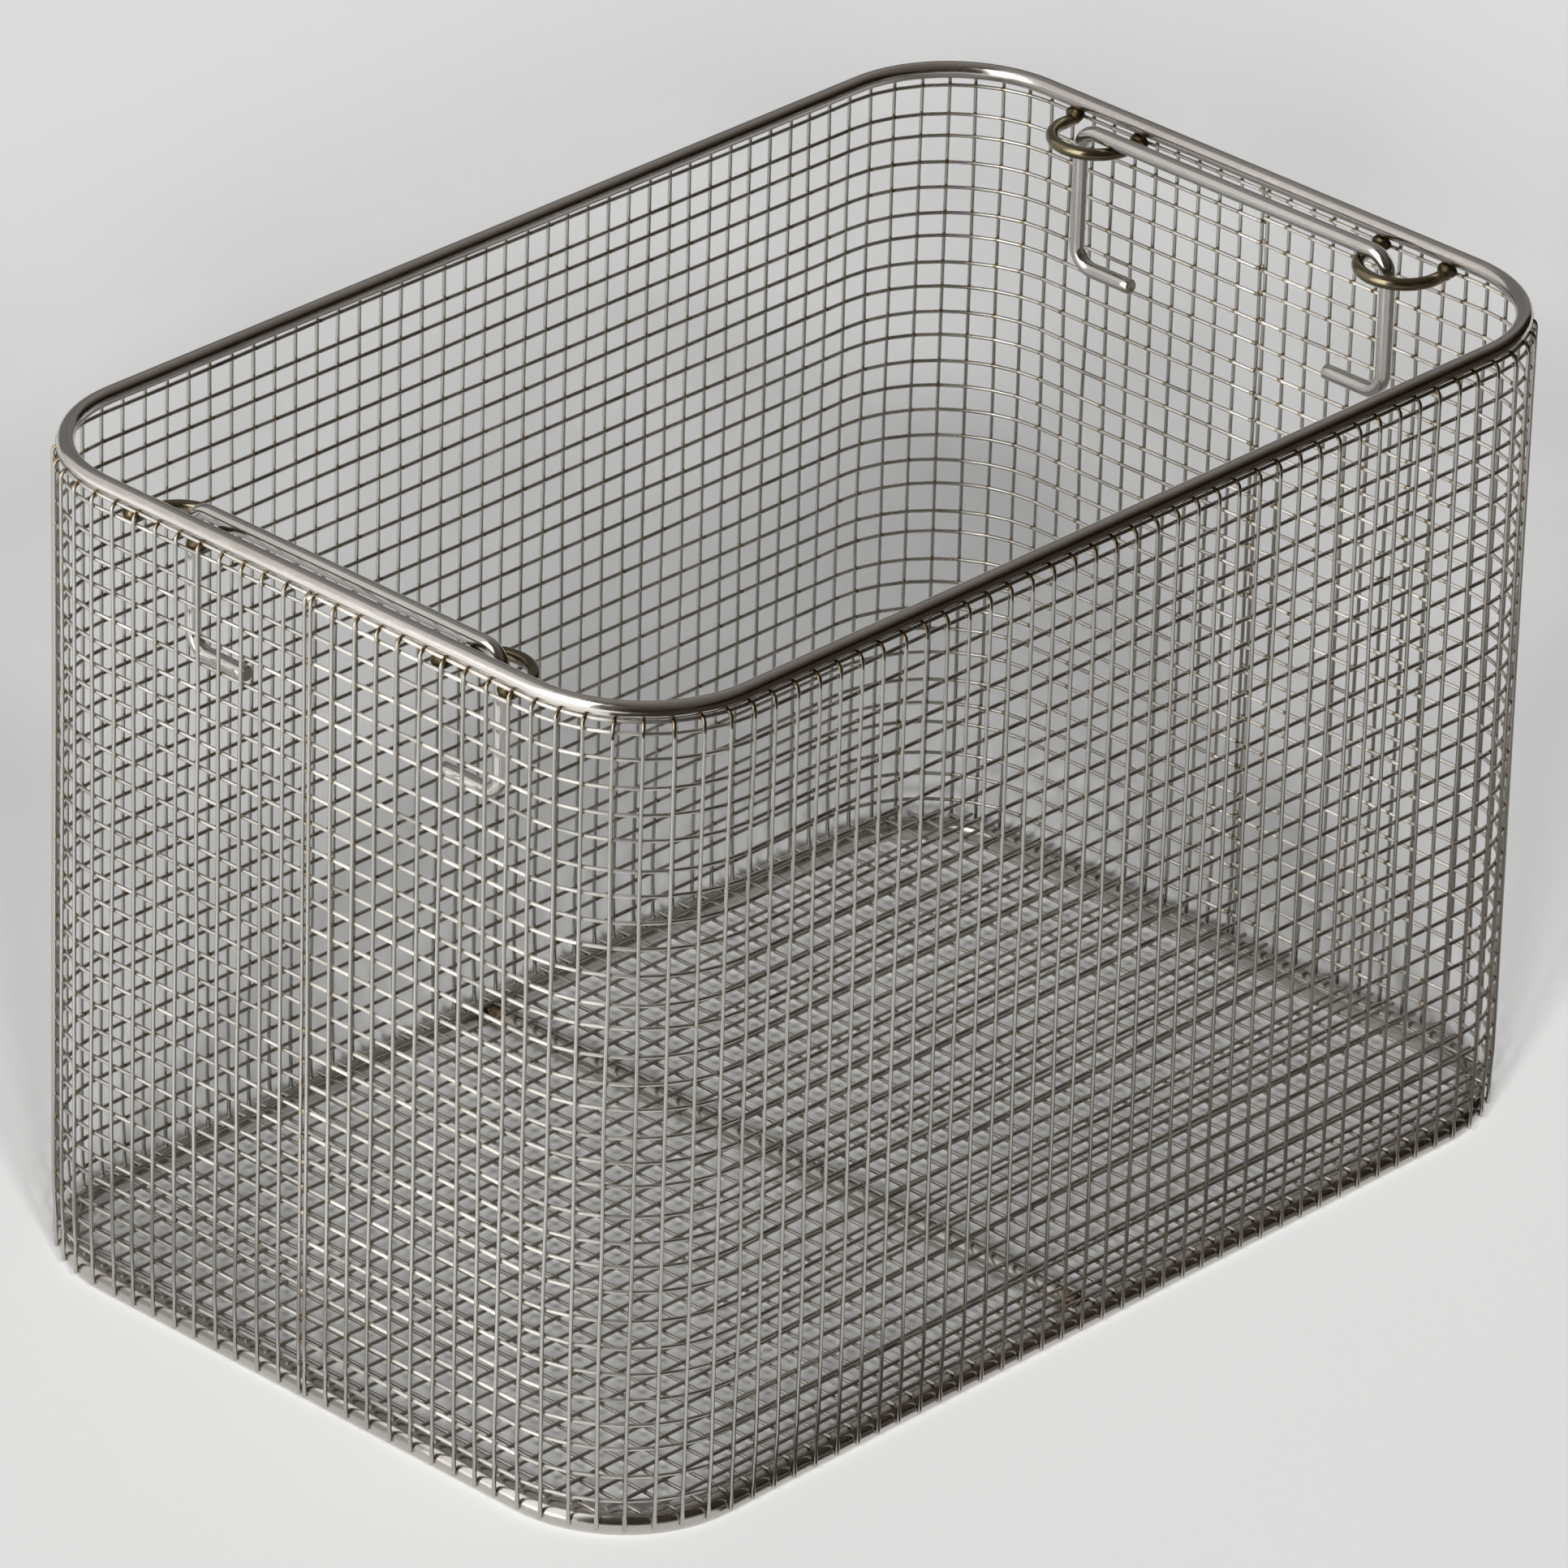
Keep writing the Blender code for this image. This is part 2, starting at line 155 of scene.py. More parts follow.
LOOP_BEAD_HEAT = 1.1
BEAD_LUMPS = (0.09, 0.05)    # how uneven a bead is, as shares of its size

# Any wire
MARKS_LENGTH = 9.0           # its drawn marks start at a random place on this length
PROBE = 0.01                 # any inset will do: it shows which way is inward

# Floor mesh
FLOOR_SAG = 0.0007
FLOOR_SWELL = 0.3            # share by which the sag differs from place to place
FLOOR_SAG_WAVES = (0.035, 0.03)
FLOOR_BOW = 0.00011          # how far a wire bends aside, in which wave, and how far it is off
FLOOR_BOW_WAVE = 0.024
FLOOR_SHIFT = 0.0001
FLOOR_HEAT = (0.05, 0.45)    # least tint of a crossing, and how much more it may have
FLOOR_TIP = 0.0002           # a wire's ends narrow over this length
FLOOR_END_HEAT = 0.1
FLOOR_END_RADIUS = 0.7 * MESH_R

# Brace, handles and loops: their ends and the tint there
BRACE_SHORT = 0.8 * BASE_R   # the brace ends this far short of the base rod's axis line
BRACE_TIP = 0.0018
BRACE_FLARE = (0.16, 0.0022)  # share by which its radius grows, and over which length
BRACE_PLAIN = 0.004
BRACE_HEAT = (0.007, 0.006)  # where the tint starts, and over which length it grows
HANDLE_TIP = 0.0003
HANDLE_TIP_RADIUS = 0.86 * HANDLE_R
HANDLE_TIP_HEAT = 0.2
LOOP_TIP_RADIUS = 0.8 * LOOP_R
LOOP_HEAT = 0.75
LOOP_HEAT_REACH = 0.0045
LOOP_LEAST_HEAT = 0.04       # share of that tint along the rest of the loop


def unit(vectors):
    return vectors / np.linalg.norm(vectors, axis=-1, keepdims=True)


class Wirework:
    """A mesh in the making: swept wires and weld beads, with the values that its steel reads."""

    def __init__(self):
        self.places = []
        self.flow = []
        self.weld = []
        self.tone_and_highlight = []
        self.satin_and_sheen = []
        self.faces = []
        self.caps = []
        self.count = 0

    def keep(self, places, flow, weld, tone_and_highlight, satin_and_sheen=0.0):
        """Keep points and their values, and say which number the first point has."""
        self.places.append(places.reshape(-1, 3))
        self.flow.append(flow.reshape(-1, 3))
        self.weld.append(weld.reshape(-1))
        self.tone_and_highlight.append(np.broadcast_to(tone_and_highlight, weld.shape).reshape(-1))
        self.satin_and_sheen.append(np.broadcast_to(satin_and_sheen, weld.shape).reshape(-1))
        first = self.count
        self.count += weld.size
        return first

    def wire(self, points, radius, across, weld=0.0, sides=8, closed=False, tone_and_highlight=None, satin_and_sheen=0.0):
        """A round wire along points. Across is a direction off its path that lays out its faces."""
        points = np.asarray(points, float)
        number = len(points)
        radius = np.broadcast_to(radius, number)
        if closed:
            along = np.roll(points, -1, axis=0) - np.roll(points, 1, axis=0)
        else:
            along = np.gradient(points, axis=0)
        along = unit(along)
        across = np.broadcast_to(across, points.shape)
        first = unit(across - np.sum(across * along, axis=1, keepdims=True) * along)
        second = np.cross(along, first)
        angle = np.arange(sides) * 2 * math.pi / sides
        ring = (np.cos(angle)[None, :, None] * first[:, None, :]
                + np.sin(angle)[None, :, None] * second[:, None, :])
        places = points[:, None, :] + radius[:, None, None] * ring
        run = np.concatenate(([0.0], np.cumsum(np.linalg.norm(np.diff(points, axis=0), axis=1))))
        flow = np.empty((number, sides, 3))
        flow[:, :, 0] = run[:, None] + rng.uniform(0.0, MARKS_LENGTH)
        flow[:, :, 1] = radius[:, None] * np.cos(angle)
        flow[:, :, 2] = radius[:, None] * np.sin(angle)
        weld = np.repeat(np.broadcast_to(weld, number)[:, None], sides, axis=1)
        tone_and_highlight = rng.normal() if tone_and_highlight is None else tone_and_highlight[:, None]
        satin_and_sheen = np.repeat(np.broadcast_to(satin_and_sheen, number)[:, None], sides, axis=1)
        start = self.keep(places, flow, weld, tone_and_highlight, satin_and_sheen)
        steps = number if closed else number - 1
        ring_now = np.arange(steps)[:, None]
        ring_next = (ring_now + 1) % number
        side_now = np.arange(sides)[None, :]
        side_next = (side_now + 1) % sides
        quads = np.stack((ring_now * sides + side_now, ring_now * sides + side_next,
                          ring_next * sides + side_next, ring_next * sides + side_now), axis=-1)
        self.faces += (start + quads.reshape(-1, 4)).tolist()
        if not closed:
            last = start + (number - 1) * sides
            self.caps.append(list(range(start + sides - 1, start - 1, -1)))
            self.caps.append(list(range(last, last + sides)))

    def bead(self, centre, half, weld=1.0, sides=12, rings=6):
        """A lump of weld metal: an uneven ellipsoid."""
        turn = np.arange(sides) * 2 * math.pi / sides
        rise = np.linspace(-math.pi / 2, math.pi / 2, rings + 2)[1:-1]
        phase = rng.uniform(0, 2 * math.pi, 2)
        lumps = 1 + BEAD_LUMPS[0] * np.sin(2 * turn[None, :] + phase[0] + 2.1 * rise[:, None])
        lumps = lumps + BEAD_LUMPS[1] * np.sin(3 * turn[None, :] + phase[1])
        shape = np.stack((np.cos(rise)[:, None] * np.cos(turn) * lumps,
                          np.cos(rise)[:, None] * np.sin(turn) * lumps,
                          np.sin(rise)[:, None] * np.ones(sides)), axis=-1)
        places = np.asarray(centre) + shape * np.asarray(half)
        start = self.keep(places, places - np.asarray(centre), np.full((rings, sides), weld),
                          rng.normal())
        now = np.arange(rings - 1)[:, None]
        side_now = np.arange(sides)[None, :]
        side_next = (side_now + 1) % sides
        quads = np.stack((now * sides + side_now, now * sides + side_next,
                          (now + 1) * sides + side_next, (now + 1) * sides + side_now), axis=-1)
        self.faces += (start + quads.reshape(-1, 4)).tolist()
        last = start + (rings - 1) * sides
        self.faces.append(list(range(start + sides - 1, start - 1, -1)))
        self.faces.append(list(range(last, last + sides)))

    def piece(self, name, body, slot, material, *nodes):
        """Make the object, with the CAD nodes that it replaces."""
        mesh = bpy.data.meshes.new(name)
        mesh.from_pydata(np.concatenate(self.places).tolist(), [], self.faces + self.caps)
        smooth = np.ones(len(mesh.polygons), dtype=bool)
        smooth[len(self.faces):] = False
        mesh.polygons.foreach_set("use_smooth", smooth)
        flow = mesh.attributes.new("flow", "FLOAT_VECTOR", "POINT")
        flow.data.foreach_set("vector", np.concatenate(self.flow).ravel())
        for label, values in (("weld", self.weld), ("tone_and_highlight", self.tone_and_highlight), ("satin_and_sheen", self.satin_and_sheen)):
            layer = mesh.attributes.new(label, "FLOAT", "POINT")
            layer.data.foreach_set("value", np.concatenate(values))
        mesh.materials.append(material)
        mesh.update()
        shown = bpy.data.objects.new(name, mesh)
        bpy.context.scene.collection.objects.link(shown)
        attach(shown, body)
        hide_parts(*nodes)


def add(tree, kind, inputs=None, **settings):
    """A shader node with its settings, and its inputs as values or as links."""
    item = tree.nodes.new("ShaderNode" + kind)
    for key, value in settings.items():
        setattr(item, key, value)
    for key, value in (inputs or {}).items():
        if isinstance(value, bpy.types.NodeSocket):
            tree.links.new(value, item.inputs[key])
        else:
            item.inputs[key].default_value = value
    return item


def calculate(tree, operation, *values, clamp=False):
    return add(tree, "Math", dict(enumerate(values)), operation=operation,
               use_clamp=clamp).outputs[0]


def spread(tree, value, low, high, to_low=0.0, to_high=1.0):
    """A value's range from low to high, stretched to another range and held inside it."""
    return add(tree, "MapRange", {"Value": value, "From Min": low, "From Max": high,
                                  "To Min": to_low, "To Max": to_high}).outputs[0]


def blended(tree, factor, first, second):
    mix = add(tree, "Mix", {0: factor, 6: first, 7: second}, data_type="RGBA")
    return mix.outputs[2]


# Heat tint, from faint to burnt
FAINT = (0.58, 0.53, 0.43)
STRAW = (0.38, 0.31, 0.20)
TAN = (0.15, 0.105, 0.070)
BURNT = (0.05, 0.035, 0.025)
OLIVE_BURNT = (0.055, 0.045, 0.022)

# How tone, satin, tint and wear change the steel. The satin paling is a painted sheen, and a tone
# set high is a painted highlight.
TONE_SHARE = 0.05
SATIN_PAINTED_SHEEN = 0.58
# painted sheen: how much paler a satin wire is painted
SATIN_ROUGHER = 0.45
TINT_ROUGHER = 0.16
WORN_PALER = 1.18
DRAWN_SCALE = (60.0, 4200.0, 4200.0)   # marks per metre, along the stock and across it
SCUFF_SCALE = (420.0, 1500.0, 1500.0)


def steel(name, pale, deep, rough, heat, burnt=BURNT):
    """Drawn steel: slow patches of two tones, lines along the stock, scuffs, and tint at welds.

    A satin wire is rougher, and also painted paler: a painted sheen. The tint at the mesh crossings
    also paints their contact shade.
    """
    material = bpy.data.materials.new(name)
    material.use_nodes = True
    tree = material.node_tree
    shader = tree.nodes["Principled BSDF"]
    shader.inputs["Metallic"].default_value = 1.0

    where = add(tree, "TexCoord").outputs["Object"]
    flow = add(tree, "Attribute", attribute_name="flow").outputs["Vector"]
    weld = add(tree, "Attribute", attribute_name="weld").outputs["Fac"]
    tone_and_highlight = add(tree, "Attribute", attribute_name="tone_and_highlight").outputs["Fac"]
    satin_and_sheen = add(tree, "Attribute", attribute_name="satin_and_sheen").outputs["Fac"]

    patches = add(tree, "TexNoise", {"Vector": where, "Scale": 26.0, "Detail": 4.0,
                                     "Roughness": 0.6}).outputs[0]
    drawn_space = add(tree, "VectorMath", {0: flow, 1: DRAWN_SCALE},
                      operation="MULTIPLY").outputs[0]
    drawn = add(tree, "TexNoise", {"Vector": drawn_space, "Scale": 1.0, "Detail": 3.0,
                                   "Roughness": 0.55}).outputs[0]
    scuff_space = add(tree, "VectorMath", {0: flow, 1: SCUFF_SCALE},
                      operation="MULTIPLY").outputs[0]
    scuffs = add(tree, "TexNoise", {"Vector": scuff_space, "Scale": 1.0, "Detail": 5.0,
                                    "Roughness": 0.7}).outputs[0]
    worn = spread(tree, scuffs, 0.58, 0.72)

    colour = blended(tree, spread(tree, patches, 0.36, 0.64), (*pale, 1.0), (*deep, 1.0))
    colour = blended(tree, calculate(tree, "MULTIPLY", worn, 0.35), colour,
                     (*[min(1.0, WORN_PALER * part) for part in pale], 1.0))
    # the tone strays at random; the pitch by the right seam is set high as a painted highlight
    shade = calculate(tree, "MULTIPLY_ADD", tone_and_highlight, TONE_SHARE, 1.0)
    lines = spread(tree, drawn, 0.3, 0.7, 0.95, 1.04)
    shade = calculate(tree, "MULTIPLY", shade, lines)
    # painted sheen: satin wires are painted paler
    paler = calculate(tree, "MULTIPLY_ADD", satin_and_sheen, SATIN_PAINTED_SHEEN, 1.0)
    shade = calculate(tree, "MULTIPLY", shade, paler)
    colour = add(tree, "VectorMath", {0: colour, "Scale": shade}, operation="SCALE").outputs[0]

    fine = add(tree, "TexNoise", {"Vector": where, "Scale": 900.0, "Detail": 2.0}).outputs[0]
    hot = calculate(tree, "MULTIPLY", weld, spread(tree, fine, 0.3, 0.7, 0.55, 1.25))
    hot = calculate(tree, "MULTIPLY", hot, heat, clamp=True)
    tint = add(tree, "ValToRGB", {0: hot})
    ramp = tint.color_ramp
    ramp.elements[0].position = 0.0
    ramp.elements[0].color = (*FAINT, 1.0)
    ramp.elements[1].position = 1.0
    ramp.elements[1].color = (*burnt, 1.0)
    straw = ramp.elements.new(0.35)
    straw.color = (*STRAW, 1.0)
    tan = ramp.elements.new(0.7)
    tan.color = (*TAN, 1.0)
    colour = blended(tree, spread(tree, hot, 0.02, 0.45), colour, tint.outputs[0])
    tree.links.new(colour, shader.inputs["Base Color"])

    roughness = spread(tree, scuffs, 0.3, 0.7, rough - 0.06, rough + 0.08)
    roughness = calculate(tree, "MULTIPLY_ADD", hot, TINT_ROUGHER, roughness)
    roughness = calculate(tree, "MULTIPLY_ADD", satin_and_sheen, SATIN_ROUGHER, roughness)
    tree.links.new(roughness, shader.inputs["Roughness"])

    height = calculate(tree, "MULTIPLY_ADD", worn, -0.35, drawn)
    bump = add(tree, "Bump", {"Strength": 0.2, "Distance": 0.00002, "Height": height})
    tree.links.new(bump.outputs[0], shader.inputs["Normal"])
    return material


MESH_STEEL = steel("mesh_wire_steel", (0.55, 0.54, 0.515), (0.465, 0.455, 0.43), 0.20, 0.75)
FLOOR_STEEL = steel("floor_mesh_steel", (0.56, 0.54, 0.50), (0.45, 0.43, 0.395), 0.38, 0.8)
RIM_STEEL = steel("rim_rod_steel", (0.60, 0.58, 0.555), (0.52, 0.50, 0.475), 0.17, 0.9)
BASE_STEEL = steel("base_rod_steel", (0.57, 0.55, 0.52), (0.47, 0.45, 0.42), 0.22, 0.9)
HANDLE_STEEL = steel("handle_steel", (0.62, 0.61, 0.59), (0.54, 0.53, 0.51), 0.14, 0.8)
LOOP_STEEL = steel("loop_steel", (0.22, 0.19, 0.125), (0.12, 0.10, 0.065), 0.20, 1.0, OLIVE_BURNT)


def front_place(run, inset):
    """Plan of the front sheet: runs start at the middle of the front and turn both corners."""
    run = np.asarray(run, float)
    side = np.where(run < 0, -1.0, 1.0)
    run = np.abs(run)
    turn = np.clip((run - STRAIGHT_X) / CORNER_RUN, 0.0, 1.0) * math.pi / 2
    radius = CORNER - inset
    x = np.minimum(run, STRAIGHT_X) + radius * np.sin(turn)
    y = -STRAIGHT_Y - radius * np.cos(turn) + np.maximum(run - STRAIGHT_X - CORNER_RUN, 0.0)
    return side * x, y, np.stack((np.cos(turn), side * np.sin(turn), 0 * turn), axis=-1)


def ring_plan(inset, corner_steps, side_steps):
    """A closed ring round the whole outline."""
    radius = CORNER - inset
    plan = []
    for quarter in range(4):
        side_x = 1 if quarter in (0, 1) else -1
        side_y = 1 if quarter in (1, 2) else -1
        for step in range(corner_steps + 1):
            angle = (quarter - 1 + step / corner_steps) * math.pi / 2
            plan.append((side_x * STRAIGHT_X + radius * math.cos(angle),
                         side_y * STRAIGHT_Y + radius * math.sin(angle)))
        after = (quarter + 1) % 4
        after_x = 1 if after in (0, 1) else -1
        after_y = 1 if after in (1, 2) else -1
        angle = quarter * math.pi / 2
        end = np.array((after_x * STRAIGHT_X + radius * math.cos(angle),
                        after_y * STRAIGHT_Y + radius * math.sin(angle)))
        start = np.array(plan[-1])
        for step in range(1, side_steps):
            plan.append(tuple(start + (end - start) * step / side_steps))
    return plan


def closed_rod(name, inset, z, radius, slot, material, node):
    """A round rod bent to the outline."""
    points = [(x, y, z) for x, y in ring_plan(inset, corner_steps=16, side_steps=18)]
    work = Wirework()
    work.wire(points, radius, UP, sides=28, closed=True)
    work.piece(name, "basket", slot, material, node)


def three_each(middles, reach):
    """Each middle with a place before and a place after it, in one row."""
    return np.stack((middles - reach, middles, middles + reach), axis=1).ravel()


def at_middles(values):
    """Values for the middles of such a row, with nothing beside them."""
    return np.stack((0 * values, values, 0 * values), axis=1).ravel()


def waves(sizes, places, lengths, phases):
    """Two waves on top of each other."""
    return (sizes[0] * np.sin(places / lengths[0] + phases[0])
            + sizes[1] * np.sin(places / lengths[1] + phases[1]))


def lean_in(z):
    """How far the mesh leans in to the base rod at a height."""
    settle = np.clip((SETTLE_TOP - z) / SETTLE_LENGTH, 0, 1)
    return FOOT_LEAN * settle ** 2 * (3 - 2 * settle)


def mesh_sheet(name, node, turned):
    """One U-shaped sheet: uprights outside, level wires welded to their inner faces."""
    numbers = np.arange(-UPRIGHTS_PER_HALF, UPRIGHTS_PER_HALF + 1)
    runs = numbers * UPRIGHT_STEP
    heights = np.linspace(LOWEST_LEVEL, HIGHEST_LEVEL, LEVELS)
    heights[1:-1] += rng.normal(0.0, LEVEL_SCATTER, LEVELS - 2)
    lean = rng.normal(0.0, LEAN_SCATTER, len(runs))
    sway = rng.normal(0.0, SWAY_SCATTER, (len(runs), 2))
    sway_phase = rng.uniform(0, 2 * math.pi, (len(runs), 2))
    dip = rng.normal(0.0, DIP_SCATTER, (LEVELS, 2))
    dip_phase = rng.uniform(0, 2 * math.pi, (LEVELS, 2))
    dent_phase = rng.uniform(0, 2 * math.pi, 2)
    # Each crossing's tint: weld heat tint together with a painted contact shade
    heat = CROSSING_HEAT_AND_SHADE[0] + CROSSING_HEAT_AND_SHADE[1] * rng.random((len(runs), LEVELS))

    def aside(number, z):
        """How far an upright stands off its place along the wall, at a height."""
        wave = waves(sway[number].T, z, SWAY_WAVES, sway_phase[number].T)
        return lean[number] * (z / RIM_Z - 0.5) * 2 + wave

    def raised(level, run):
        """How far a level wire stands off its height, at a run."""
        return waves(dip[level].T, run, DIP_WAVES, dip_phase[level].T)

    def dent(run, z):
        """How far the wall stands in, for every wire alike."""
        swell = (1 + np.sin(run / DENT_WAVES[0] + dent_phase[0])
                 * np.sin(z / DENT_WAVES[1] + dent_phase[1])) / 2
        return DENT_DEPTH * swell * np.sin(np.clip(z / RIM_Z, 0, 1) * math.pi)

    def satin_and_sheen(run):
        """How satin a level wire is, and so how much it is painted paler as a painted sheen: most
        on the short walls, not at all on the long one.
        """
        most = BACK_SATIN_AND_SHEEN if turned else FRONT_SATIN_AND_SHEEN
        return most * np.clip((np.abs(run) - STRAIGHT_X) / CORNER_RUN, 0.0, 1.0)

    work = Wirework()
    for index, run in enumerate(runs):
        z = three_each(heights + raised(np.arange(LEVELS), run), SPOT_REACH)[:-1]
        hot = at_middles(UPRIGHT_HEAT_AND_SHADE * heat[index])[:-1]
        inset = lean_in(z) + dent(run, z)
        z = np.concatenate((FOOT_HEIGHTS, z, HOOK_HEIGHTS))
        inset = np.concatenate((FOOT_LEANS, inset, HOOK_INSETS))
        hot = np.concatenate((FOOT_HEAT, hot, HOOK_HEAT))
        plain = np.full(len(z) - len(FOOT_RADII) - len(HOOK_END_RADII), MESH_R)
        radius = np.concatenate((FOOT_RADII, plain, HOOK_END_RADII))
        x, y, across = front_place(run, 0.0)
        inner_x, inner_y, across = front_place(run, PROBE)
        inward = np.array((inner_x - x, inner_y - y)) / PROBE
        offset = aside(index, z)
        if index in (0, len(runs) - 1):
            offset = END_STRAY * offset
        points = np.stack((x + inset * inward[0] + offset * across[0],
                           y + inset * inward[1] + offset * across[1], z), axis=1)
        work.wire(points, radius, across, hot)

    for level in range(LEVELS):
        at = runs + aside(np.arange(len(runs)), heights[level])
        at[0], at[-1] = runs[0], runs[-1]
        spots = three_each(at, SPOT_REACH)
        # weld tint and painted contact shade at each crossing of this level wire
        hot = at_middles(heat[:, level])
        spots[0], spots[-1] = at[0] - LEVEL_END, at[-1] + LEVEL_END
        z = heights[level] + raised(level, spots)
        x, y, across = front_place(spots, LEVEL_INSET + dent(spots, z) + lean_in(z))
        pitch_tone = PITCH_TONE * rng.normal(size=len(runs) + 1)
        # painted highlight: the pitch next to the right seam is painted much paler
        if turned:
            pitch_tone[1] = SEAM_PAINTED_HIGHLIGHT
        tone_and_highlight = np.stack((pitch_tone[:-1], (pitch_tone[:-1] + pitch_tone[1:]) / 2, pitch_tone[1:]),
                        axis=1).ravel()
        work.wire(np.stack((x, y, z), axis=1), MESH_R, UP, hot, tone_and_highlight=tone_and_highlight, satin_and_sheen=satin_and_sheen(spots))

    spots = three_each(runs, FLANGE_REACH)[1:-1]
    spots[0], spots[-1] = -END_RUN - FLANGE_END, END_RUN + FLANGE_END
    hot = np.tile((FLANGE_HEAT[0], FLANGE_HEAT[1], FLANGE_HEAT[0]), len(runs))[1:-1]
    x, y, across = front_place(spots, FLANGE_INSET)
    z = np.full(len(spots), FLANGE_Z)
    work.wire(np.stack((x, y, z), axis=1), MESH_R, UP, hot, satin_and_sheen=satin_and_sheen(spots))

    if turned:
        for places in work.places:
            places[:, :2] *= -1
    work.piece(name, "basket", "mesh_wire", MESH_STEEL, node)


def seams():
    """The spot welds that join the end uprights of the two sheets, on both short sides."""
    work = Wirework()
    heights = np.linspace(LOWEST_LEVEL, HIGHEST_LEVEL, LEVELS)
    for side in (-1, 1):
        for level in range(LEVELS):
            if rng.random() < SEAM_BEAD_MISSING:
                continue
            z = heights[level] + rng.normal(0.0, SEAM_BEAD_SCATTER[1])
            tall = rng.uniform(*SEAM_BEAD_TALL)
            y = rng.normal(0.0, SEAM_BEAD_SCATTER[0])
            centre = (side * (SIDE_X - SEAM_BEAD_INSET), y, z)
            work.bead(centre, (*SEAM_BEAD, tall), weld=rng.uniform(*SEAM_BEAD_HEAT), sides=10)
        centre = (side * (SIDE_X - FLANGE_BEAD_INSET), 0.0, FLANGE_Z - FLANGE_BEAD_DROP)
        work.bead(centre, FLANGE_BEAD, weld=FLANGE_BEAD_HEAT)
    work.piece("seam_welds", "basket", "mesh_wire", MESH_STEEL)


def floor_wires():
    """Cross wires on the base rod and the brace, and long wires welded on top of them."""
    def reach(offset, half_across, half_along):
        edge = half_across - FLOOR_EDGE_INSET
        radius = CORNER - FLOOR_EDGE_INSET
        into = np.maximum(np.abs(offset) - (half_along - CORNER), 0.0)
        return edge - radius + np.sqrt(radius ** 2 - into ** 2)

    def places(half_along):
        count = math.floor((half_along - BASE_INSET) / FLOOR_PITCH)
        return np.arange(-count, count + 1) * FLOOR_PITCH

    columns = places(SIDE_X)
    rows = places(SIDE_Y)
    sag_phase = rng.uniform(0, 2 * math.pi, 2)

    def sag(x, y):
        """How far the floor sinks between the rods that carry it."""
        held = np.sin(np.clip(np.abs(x) / (SIDE_X - BASE_INSET), 0, 1) * math.pi)
        across = np.cos(np.clip(np.abs(y) / (SIDE_Y - BASE_INSET), 0, 1) * math.pi / 2)
        swell = (1 + FLOOR_SWELL * np.sin(x / FLOOR_SAG_WAVES[0] + sag_phase[0])
                 * np.sin(y / FLOOR_SAG_WAVES[1] + sag_phase[1]))
        return FLOOR_SAG * held * across * swell

    work = Wirework()
    for along_x, offsets, others, z_axis in ((False, columns, rows, CROSS_Z),
                                             (True, rows, columns, LONG_Z)):
        half_across, half_along = (SIDE_X, SIDE_Y) if along_x else (SIDE_Y, SIDE_X)
        for offset in offsets:
            end = float(reach(offset, half_across, half_along))
            inside = others[np.abs(others) < end - SPOT_REACH]
            at = three_each(inside, SPOT_REACH)
            hot = at_middles(FLOOR_HEAT[0] + FLOOR_HEAT[1] * rng.random(len(inside)) ** 3)
            full = end - FLOOR_TIP
            at = np.concatenate(([-end, -full], at, [full, end]))
            hot = np.concatenate(([FLOOR_END_HEAT] * 2, hot, [FLOOR_END_HEAT] * 2))
            radius = np.full(len(at), MESH_R)
            radius[0] = radius[-1] = FLOOR_END_RADIUS
            bow = rng.normal(0, FLOOR_BOW)
            stray = bow * np.sin(at / FLOOR_BOW_WAVE + rng.uniform(0, 6))
            stray = offset + (stray + rng.normal(0, FLOOR_SHIFT))
            x, y = (at, stray) if along_x else (stray, at)
            work.wire(np.stack((x, y, z_axis - sag(x, y)), axis=1), radius, UP, hot)
    work.piece("floor_mesh_wires", "basket", "mesh_wire", FLOOR_STEEL, "floor_mesh")


def brace():
    """The rod across the middle of the floor, welded to the base rod at both ends."""
    end = SIDE_Y - BASE_INSET - BRACE_SHORT
    plain = end - BRACE_PLAIN
    y = np.concatenate(([-end, BRACE_TIP - end], np.linspace(-plain, plain, 30),
                        [end - BRACE_TIP, end]))
    past = np.abs(y) - end
    hot = np.clip((past + BRACE_HEAT[0]) / BRACE_HEAT[1], 0, 1)
    flare = np.clip((past + BRACE_FLARE[1]) / BRACE_FLARE[1], 0, 1)
    radius = np.minimum(BASE_R * (1 + BRACE_FLARE[0] * flare), BASE_Z)
    work = Wirework()
    work.wire(np.stack((0 * y, y, 0 * y + BASE_Z), axis=1), radius, UP, hot, sides=28)
    for side in (-1, 1):
        for beside in (1, -1):
            centre = (beside * BRACE_BEAD_X, side * (end - BRACE_BEAD_INSET), BASE_Z)
            work.bead(centre, BRACE_BEAD, weld=BRACE_BEAD_HEAT)
    work.piece("floor_brace_rod", "basket", "rod", BASE_STEEL, "floor_brace")


